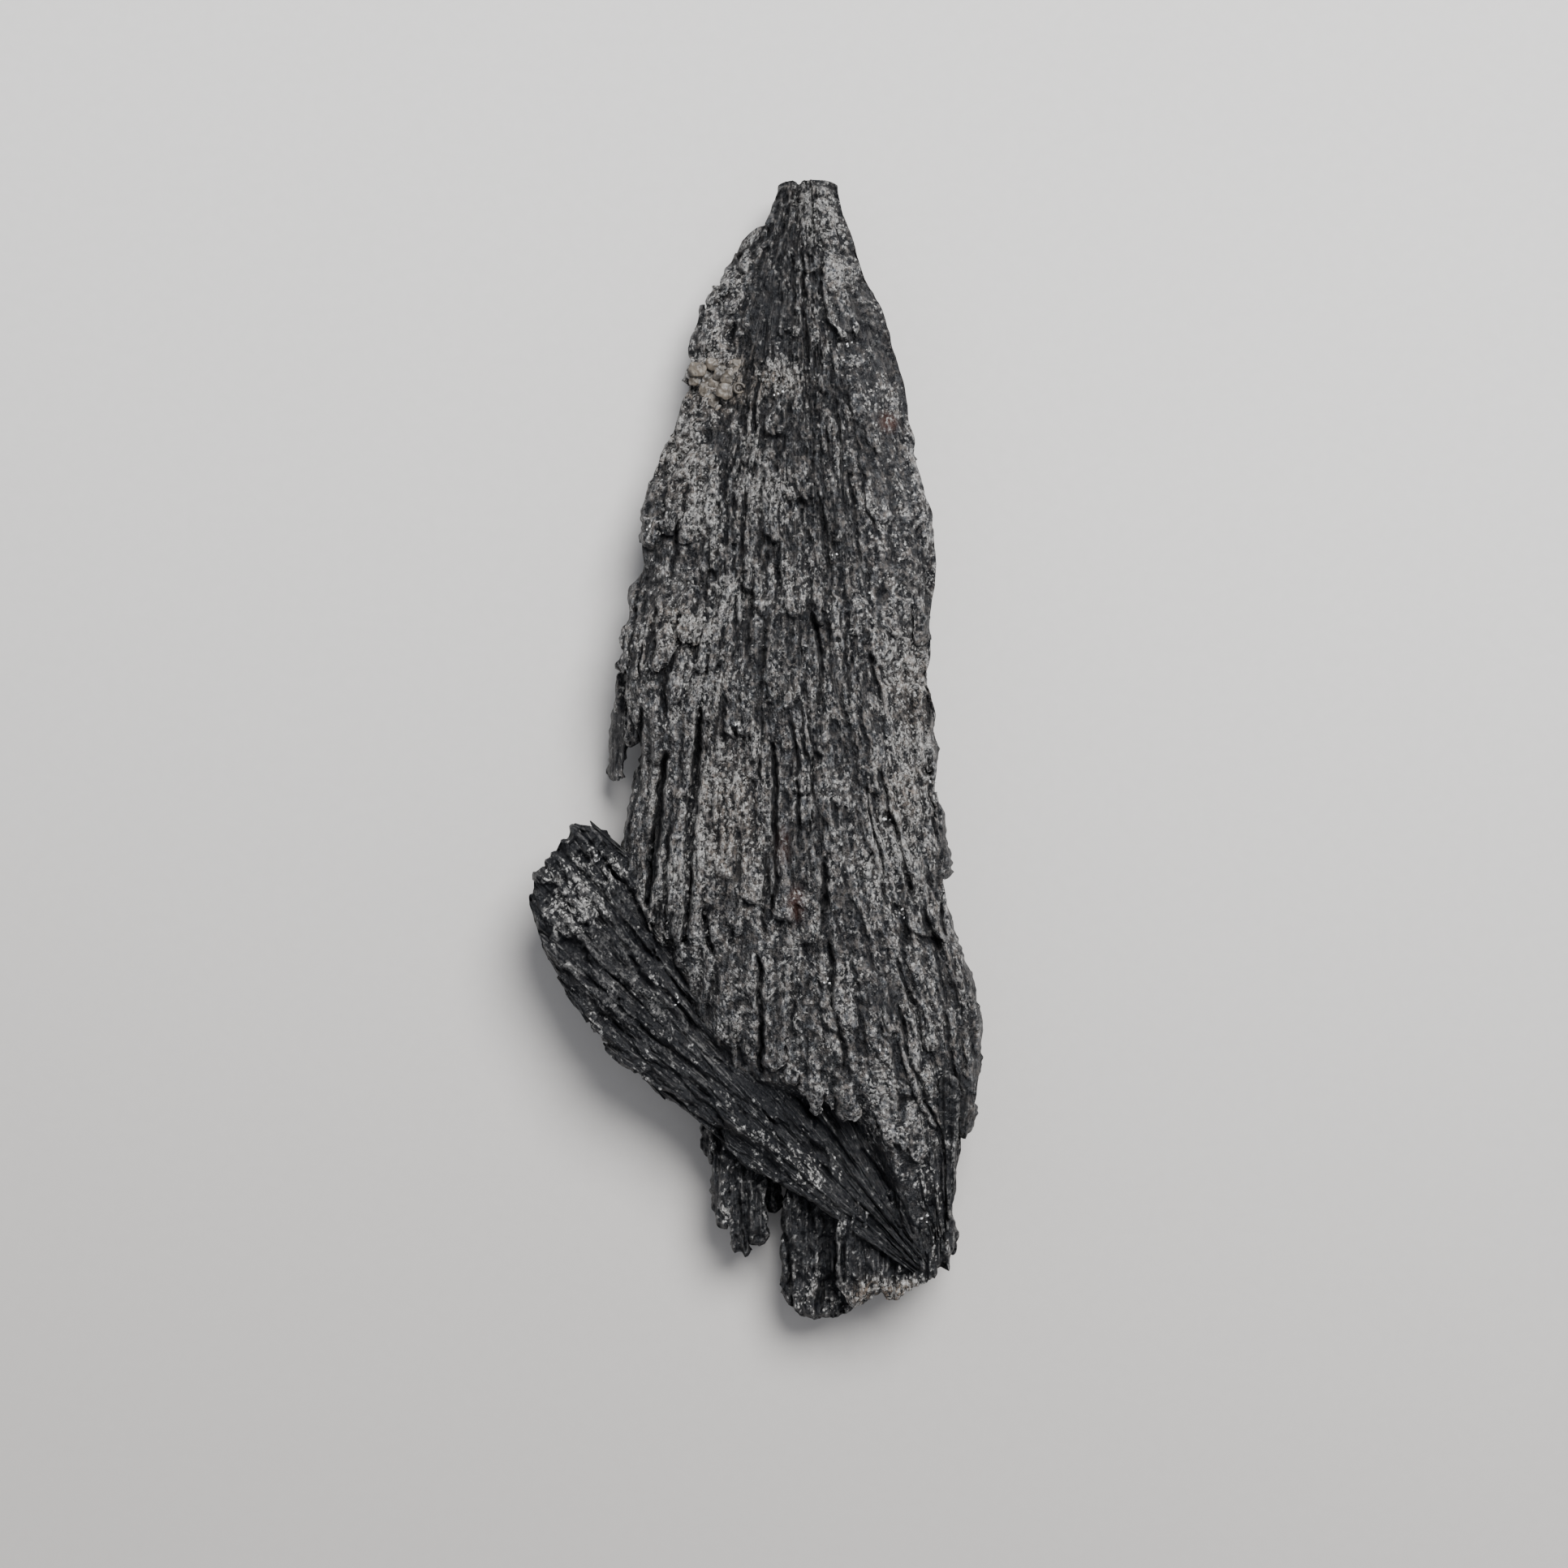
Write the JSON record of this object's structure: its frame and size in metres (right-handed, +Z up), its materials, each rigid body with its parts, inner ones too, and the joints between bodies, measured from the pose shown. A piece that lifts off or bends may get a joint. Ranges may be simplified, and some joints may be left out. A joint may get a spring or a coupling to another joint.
{
  "type": "black kyanite fan",
  "caption": "Fan-shaped spray of overlapping black blade crystals with a second fan crossing it, grown as one stone and lying on its flat side.",
  "frame": {"origin": "centre of the footprint's box, on the table it lies on", "axes": "+Z up from the table, +Y along the fan towards its narrow end, +X to the right seen from above with the narrow end away"},
  "size_m": [0.0396, 0.1004, 0.0161],
  "materials": {
    "black_crystal": "rough broken black crystal blades, dull with small bright cleavage glints"
  },
  "bodies": {
    "root": {"crystal_fan": "black_crystal"}
  },
  "joints": []
}
